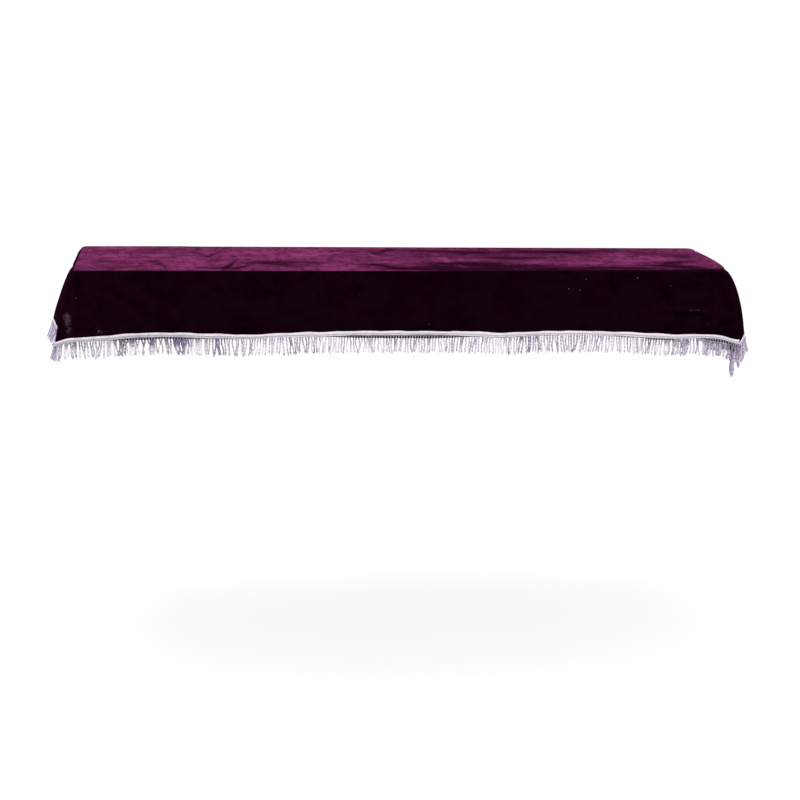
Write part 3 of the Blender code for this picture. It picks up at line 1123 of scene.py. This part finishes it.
def headerFinish():
    # silky thread: fine slanted plies that catch the light
    thread = Finish("lavenderHeader")
    u, v, _ = thread.parts(thread.node("ShaderNodeUVMap", {"uv_map": "weave"}, {}))
    ply = ((u + v) * (2 * math.pi / header["ply"])).sine()
    uneven = thread.noise(thread.scaled(thread.place(), (0.011, 0.011, 0.011)), detail=3, roughness=0.6)
    tone = (ply * 0.24 + (uneven - 0.5) * 1.6 + 0.55).ramp(0, 1)
    thread.set(
        baseColour=thread.blended(tone, header["shade"], header["light"]),
        roughness=0.38,
        specular=0.5,
        sheen=0.2,
        sheenRoughness=0.4,
        sheenTint=(0.9, 0.85, 1.0),
        normal=thread.bump(ply, 0.0004, 0.7),
    )
    return thread.material


headerCord = makeHeader()
headerCord.data.materials.append(headerFinish())
shadeSmooth(headerCord)
print("header cord laid:", len(headerCord.data.polygons), "faces")


# the fringe: twisted strands, one modelled and copied along the header

strand = {
    "wide": 0.0046,
    "deep": 0.0026,
    "length": 0.0345,
    "sides": 6,
    "sections": 15,
    "twist": 62,  # degrees from one section to the next
    "tip": (0.45, 1.12),  # sizes of its last section and of the one before, against those above them
    "clumpSwing": 0.00594,  # the most that neighbours lean together at their tips
    "clumpReach": 15,  # strands
    "ownSwing": 0.0013,
    "standsOut": 0.0004,
    "unevenPitch": 0.16,
    "lengths": (0.92, 1.07),
    "rootsAt": 0.003,  # the length is for roots this far below the hem, and deeper roots shorten it
    "kink": 0.0006,
    "kinkSizes": (0.3, 1.6),
    "kinkWaves": (0.6, 1.6),
    "stiff": 0.55,  # the share of its length over which a strand keeps the cloth's slant
    # x, y, reach and mm outwards
    "fans": [(-727, 10, 60, 9), (-709, -62, 34, 8), (-700, -112, 30, 3), (755, -45, 50, 6)],
    "clipped": (-706, -115, 45, 0.16),  # x, y, reach and the share of their length that strands lose
    # x, reach and how much
    "tangles": [
        (-672, 26, 0.5),
        (-560, 30, 0.95),
        (-512, 14, 0.7),
        (-455, 34, 0.95),
        (-380, 16, 0.4),
        (-90, 20, 0.25),
        (250, 24, 0.2),
        (553, 60, 0.35),
        (628, 26, 0.4),
        (700, 40, 0.7),
    ],
    # more strands, swing and kink where they are all tangled
    "tangleCount": 0.8,
    "tangleSwing": 0.0022,
    "tangleKink": 1.2,
    "seed": 11,
    "light": ((0.93, 0.89, 0.94), (0.66, 0.51, 0.79)),  # pearl, and lilac where shade is painted near the two ends
    "shade": ((0.17, 0.125, 0.24), (0.20, 0.18, 0.23)),  # painted shade between the plies: violet and grey, from group to group
}


def modelStrand():
    # a flat twisted cord, extruded down section by section and drawn in to a rounded tip
    deselectAll()
    bpy.ops.mesh.primitive_circle_add(vertices=strand["sides"], radius=0.5, fill_type="NGON")
    one = bpy.context.active_object
    bpy.ops.object.mode_set(mode="EDIT")
    bpy.ops.mesh.select_all(action="SELECT")
    bpy.ops.transform.resize(value=(strand["wide"], strand["deep"], 1))
    step = strand["length"] / (strand["sections"] - 1)
    twist = math.radians(strand["twist"])
    for i in range(1, strand["sections"]):
        bpy.ops.mesh.extrude_region_move(TRANSFORM_OT_translate={"value": (0, 0, -step)})
        centre = (0, 0, -step * i)
        bpy.ops.transform.rotate(value=twist, orient_axis="Z", center_override=centre)
        fromTip = strand["sections"] - 1 - i
        if fromTip < len(strand["tip"]):
            size = strand["tip"][fromTip]
            bpy.ops.transform.resize(value=(size, size, 1), center_override=centre)
    bpy.ops.object.mode_set(mode="OBJECT")
    return one


def tangledAt(points):
    tangled = np.zeros(len(points))
    for x, reach, much in strand["tangles"]:
        tangled += much * np.exp(-(((points[:, 0] - x * mm) / (reach * mm)) ** 2)) * (points[:, 1] < 0)
    return tangled


def near(points, x, y, reach):
    # 1 at this place seen from above, fading out over its reach
    apart = np.hypot(points[:, 0] - x * mm, points[:, 1] - y * mm)
    return np.exp(-((apart / (reach * mm)) ** 2))


def strandWalks(rng):
    # where the strands hang along the hem: nearly even, with more of them where they are tangled
    uneven = strand["unevenPitch"]
    walks = np.arange(strandCount) + 0.5 + rng.uniform(-uneven, uneven, strandCount)
    walks = walks * hemLength / strandCount
    more = strand["tangleCount"] * tangledAt(alongTheHem(hemPoint, walks))
    doubled = rng.uniform(0, 1, strandCount) < more
    return np.sort(np.concatenate([walks, walks[doubled] + 0.5 * header["pitch"]]))


def clumpSwings(rng, count):
    # how far each strand leans along the hem with its neighbours: a random walk less its own mean
    reach = strand["clumpReach"]
    window = 2 * reach + 1
    clump = np.cumsum(rng.normal(0, 1, count))
    lapped = np.concatenate([clump[-reach:], clump, clump[:reach]])
    clump -= np.convolve(lapped, np.ones(window) / window, "valid")
    return strand["clumpSwing"] * clump / np.abs(clump).max()


def hangingWays(down, out):
    # level ways along the hem and out of the cloth at each strand
    along = np.cross(out, down)
    along[:, 2] = 0
    along /= np.linalg.norm(along, axis=1, keepdims=True)
    level = np.cross(along, [0, 0, 1])
    level *= np.sign(np.sum(level * out, axis=1))[:, None]
    return along, level


def makeFringe():
    one = modelStrand()
    shape = np.array([vertex.co for vertex in one.data.vertices])
    oneFaces = [list(face.vertices) for face in one.data.polygons]
    bpy.data.objects.remove(one)
    part = -shape[:, 2] / strand["length"]
    twisted = np.round(part * (strand["sections"] - 1)) * math.radians(strand["twist"])
    turned = np.arctan2(shape[:, 1], shape[:, 0]) - twisted
    ply = np.cos(2 * np.arctan2(np.sin(turned) * strand["wide"], np.cos(turned) * strand["deep"]))

    rng = np.random.default_rng(strand["seed"])
    walks = strandWalks(rng)
    count = len(walks)
    at, down, out = (alongTheHem(values, walks) for values in (hemPoint, hemDown, hemOut))
    roots = rootsBelow(walks)
    along, level = hangingWays(down, out)
    tangled = tangledAt(at)
    fanned = np.zeros(count)
    for x, y, reach, spread in strand["fans"]:
        fanned += spread * mm * near(at, x, y, reach)
    *clippedAt, lost = strand["clipped"]
    kept = 1 - lost * near(at, *clippedAt)
    clump = clumpSwings(rng, count)

    points, faces = [], []
    for i in range(count):
        length = strand["length"] * rng.uniform(*strand["lengths"]) * kept[i]
        length += strand["rootsAt"] - roots[i]
        swing = clump[i] + rng.normal(0, strand["ownSwing"] + strand["tangleSwing"] * tangled[i])
        outward = fanned[i] + rng.normal(strand["standsOut"], strand["ownSwing"] * 1.2)
        start, waves = rng.uniform(0, 2 * math.pi), rng.uniform(*strand["kinkWaves"])
        kink = strand["kink"] * rng.uniform(*strand["kinkSizes"])
        kink *= 1 + strand["tangleKink"] * tangled[i]
        spun = rng.uniform(0, 2 * math.pi)
        bend = swing * part**1.6 + kink * (np.sin(start + waves * 2 * math.pi * part) - math.sin(start))
        stand = outward * part**1.5 + 0.6 * kink * (np.cos(start + waves * 5 * part) - math.cos(start))
        # it leaves the cloth along the cloth's slant, then gives way to its own weight
        slant = down[i] * [1, 1, 0]
        lean = strand["stiff"] * (1 - np.exp(-part / strand["stiff"]))
        x = shape[:, 0] * math.cos(spun) - shape[:, 1] * math.sin(spun)
        y = shape[:, 0] * math.sin(spun) + shape[:, 1] * math.cos(spun)
        root = at[i] + roots[i] * down[i] + header["outBy"] * out[i]
        place = root + (x + bend)[:, None] * along[i] + (y + stand)[:, None] * level[i]
        place += (lean * length)[:, None] * slant
        place[:, 2] -= length * (part - (1 + down[i][2]) * lean)
        base = len(shape) * i
        faces += [[base + corner for corner in face] for face in oneFaces]
        points.append(place)
    piece = meshPiece("fringe_strands", np.concatenate(points), faces)
    each = np.repeat(rng.uniform(-1, 1, count), len(shape))
    addAttributes(piece, {"downStrand": np.tile(part, count), "plyCrown": np.tile(ply, count)})
    addAttributes(piece, {"tangled": np.repeat(tangled, len(shape)), "ownTone": each})
    return piece


def strandFinish():
    # two twisted plies, white on their crowns with painted violet grey shade between them, painted shade at
    # the roots, deeper where they are tangled, and painted shade over the strands towards both ends
    silk = Finish("lavenderStrands")
    place = silk.place()
    ply = silk.attribute("plyCrown")
    uneven = silk.noise(silk.scaled(place, (0.008, 0.008, 0.018)), detail=4, roughness=0.7)
    groups = silk.noise(silk.scaled(place, (0.060, 0.060, 0.2)), detail=2)
    threads = silk.noise(silk.scaled(place, (0.0007, 0.0007, 0.0040)), detail=2)
    x, _, _ = silk.parts(place)
    tangled = silk.attribute("tangled")
    # painted shade at the roots, deeper where the strands are tangled
    roots = silk.attribute("downStrand").ramp(0.0, 0.65, 1, 0) * (tangled * 0.60 + 0.15)
    own = silk.attribute("ownTone") * (tangled * 0.25 + 0.10)
    # painted shade on the strands towards both ends, with more contrast between their plies
    paintedEndShade = x.ramp(0.52, 0.66) * 0.62 + x.ramp(-0.70, -0.68, 0.55, 0)
    plies = ply * (0.40 + paintedEndShade * 0.45) + paintedEndShade * 0.02
    tone = (plies + (uneven - 0.5) * 1.5 + (groups - 0.5) * 0.9 + own + 0.72 - roots).ramp(0, 1)
    shade = silk.blended(groups.ramp(0.40, 0.60), *strand["shade"])
    light = silk.blended(paintedEndShade, *strand["light"])
    silk.set(
        baseColour=silk.blended(tone, shade, light),
        roughness=0.32,
        specular=0.55,
        sheen=0.15,
        sheenRoughness=0.4,
        sheenTint=(0.9, 0.85, 1.0),
        normal=silk.bump(threads, 0.0004, 0.8),
    )
    return silk.material


fringe = makeFringe()
fringe.data.materials.append(strandFinish())
shadeSmooth(fringe)
print("fringe hung:", len(fringe.data.polygons), "faces")


# every piece rides on the one body and stands for its solid

for piece in (cloth, hemBraid, headerCord, fringe):
    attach(piece, "root")
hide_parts("velvet_cloth")
for piece in (hemBraid, headerCord, fringe):
    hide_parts("fringe_trim")
